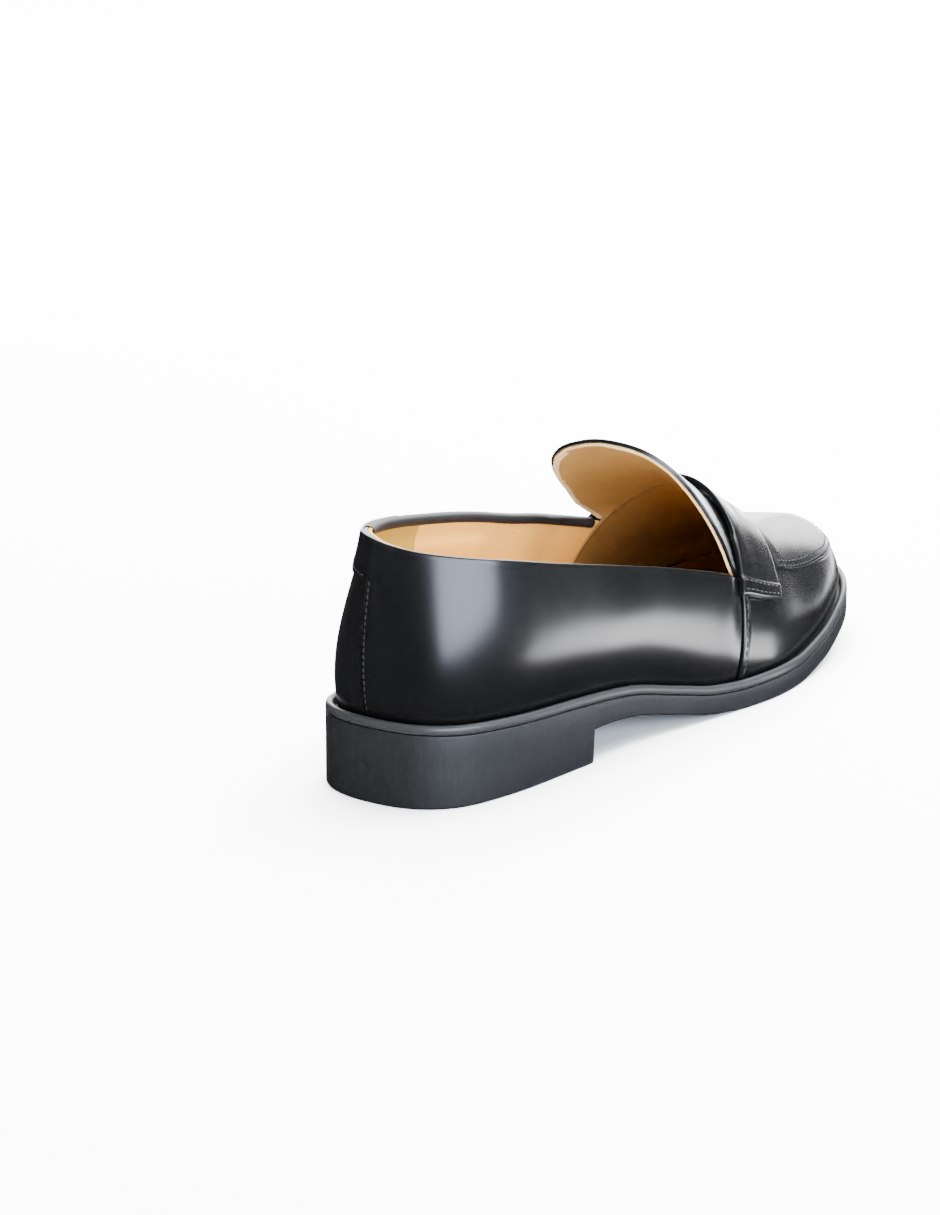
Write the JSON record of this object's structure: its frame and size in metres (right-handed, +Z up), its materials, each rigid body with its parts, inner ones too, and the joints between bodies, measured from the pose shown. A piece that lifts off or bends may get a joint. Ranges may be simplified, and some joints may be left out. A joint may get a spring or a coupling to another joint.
{
  "type": "penny loafer",
  "caption": "Slip-on leather loafer for the right foot, with a slotted saddle strap over a raised apron, a tongue, a low block heel and a moulded rubber sole.",
  "frame": {"origin": "on the floor under the middle of the shoe's box", "axes": "+X from heel to toe, +Y to the inner side of the right foot, +Z up"},
  "size_m": [0.268, 0.0926, 0.093],
  "materials": {
    "box_leather": "smooth black leather, polished",
    "sole_rubber": "matt dark grey rubber",
    "bead_rubber": "half-matt black rubber",
    "fibreboard": "plain pressed board",
    "spring_steel": "bare spring steel",
    "cork_filler": "pressed cork",
    "foam": "soft foam",
    "lining_leather": "smooth tan lining leather",
    "stiffener": "stiff thermoplastic board",
    "twill": "light tan twill",
    "suede": "mustard suede",
    "thread": "black waxed thread"
  },
  "bodies": {
    "shoe": {"outsole": "sole_rubber", "welt_bead": "bead_rubber", "insole_board": "fibreboard", "shank": "spring_steel", "shank_rivet_rear": "spring_steel", "shank_rivet_front": "spring_steel", "forepart_filler": "cork_filler", "heel_pad": "foam", "sock_liner": "lining_leather", "vamp": "box_leather", "apron": "box_leather", "toe_puff": "stiffener", "vamp_lining": "lining_leather", "saddle_strap": "box_leather", "quarter_outer": "box_leather", "quarter_lining_outer": "twill", "quarter_inner": "box_leather", "quarter_lining_inner": "twill", "heel_counter": "stiffener", "heel_grip": "suede", "heel_tab": "box_leather", "apron_thread_lower": "thread", "apron_thread_upper": "thread", "side_seam_thread_outer": "thread", "side_seam_thread_inner": "thread", "strap_end_thread_outer": "thread", "strap_end_thread_inner": "thread", "back_seam_thread": "thread", "heel_tab_thread": "thread"},
    "tongue": {"tongue": "box_leather", "tongue_lining": "lining_leather"}
  },
  "joints": [
    {"name": "tongue_flex", "type": "hinge", "parent": "shoe", "child": "tongue", "pos_m": [0.042, 0, 0.068], "axis": [0, 1, 0], "range_deg": [0, 12], "stiffness_Nm_per_rad": 0.5}
  ]
}
